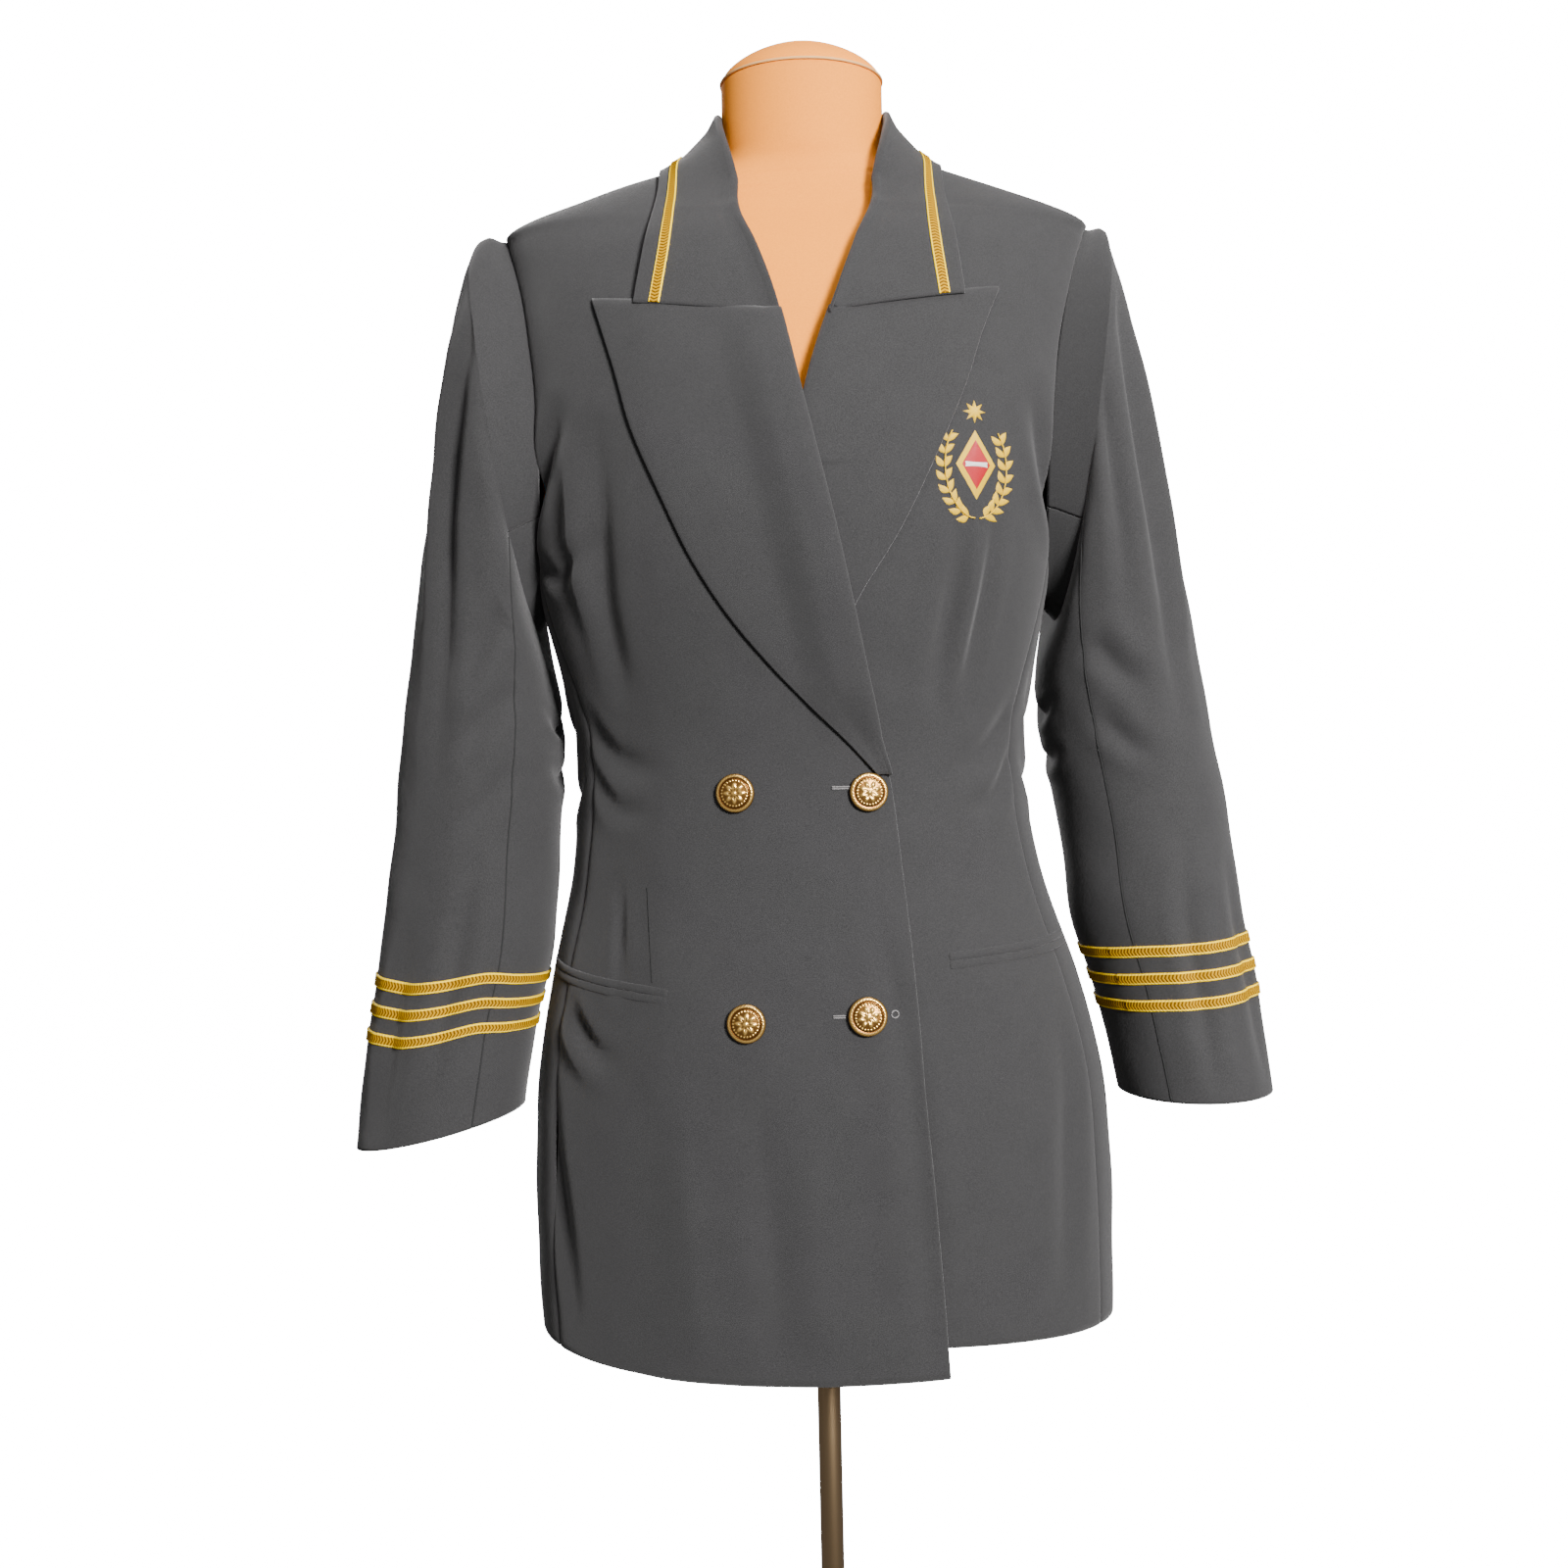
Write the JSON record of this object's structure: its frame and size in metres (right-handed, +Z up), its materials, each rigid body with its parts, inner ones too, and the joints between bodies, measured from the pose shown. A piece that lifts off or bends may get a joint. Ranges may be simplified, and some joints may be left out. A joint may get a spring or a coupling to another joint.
{
  "type": "pilot uniform jacket on a limbless dress form with a stand",
  "caption": "Double-breasted uniform jacket with peaked lapels, gold braid on collar and cuffs and domed buttons, worn by a limbless dress form on a pole stand.",
  "frame": {"origin": "centre of the underside of the stand's round base", "axes": "+Z up; the jacket's front faces -Y; +X is the wearer's left"},
  "size_m": [0.6066, 0.3, 1.3383],
  "materials": {
    "wool_cloth": "matt charcoal-navy worsted wool",
    "gold_braid": "woven gold braid with a darker chevron",
    "gilt_button": "polished gilt with darker recesses",
    "form_linen": "smooth tan linen cover",
    "stand_metal": "dark bronze, polished"
  },
  "bodies": {
    "root": {"back_left": "wool_cloth", "back_right": "wool_cloth", "button_lower_left": "gilt_button", "button_lower_right": "gilt_button", "button_upper_left": "gilt_button", "button_upper_right": "gilt_button", "collar": "wool_cloth", "collar_braid": "gold_braid", "cuff_braid_left_1": "gold_braid", "cuff_braid_left_2": "gold_braid", "cuff_braid_left_3": "gold_braid", "cuff_braid_right_1": "gold_braid", "cuff_braid_right_2": "gold_braid", "cuff_braid_right_3": "gold_braid", "form_base": "stand_metal", "form_neck_cap": "form_linen", "form_pole": "stand_metal", "form_torso": "form_linen", "front_left_under": "wool_cloth", "front_right_over": "wool_cloth", "lapel_left": "wool_cloth", "lapel_right": "wool_cloth", "pocket_left_lower_jet": "wool_cloth", "pocket_left_upper_jet": "wool_cloth", "pocket_right_lower_jet": "wool_cloth", "pocket_right_upper_jet": "wool_cloth", "side_panel_left": "wool_cloth", "side_panel_right": "wool_cloth", "top_sleeve_left": "wool_cloth", "top_sleeve_right": "wool_cloth", "under_sleeve_left": "wool_cloth", "under_sleeve_right": "wool_cloth"}
  },
  "joints": []
}
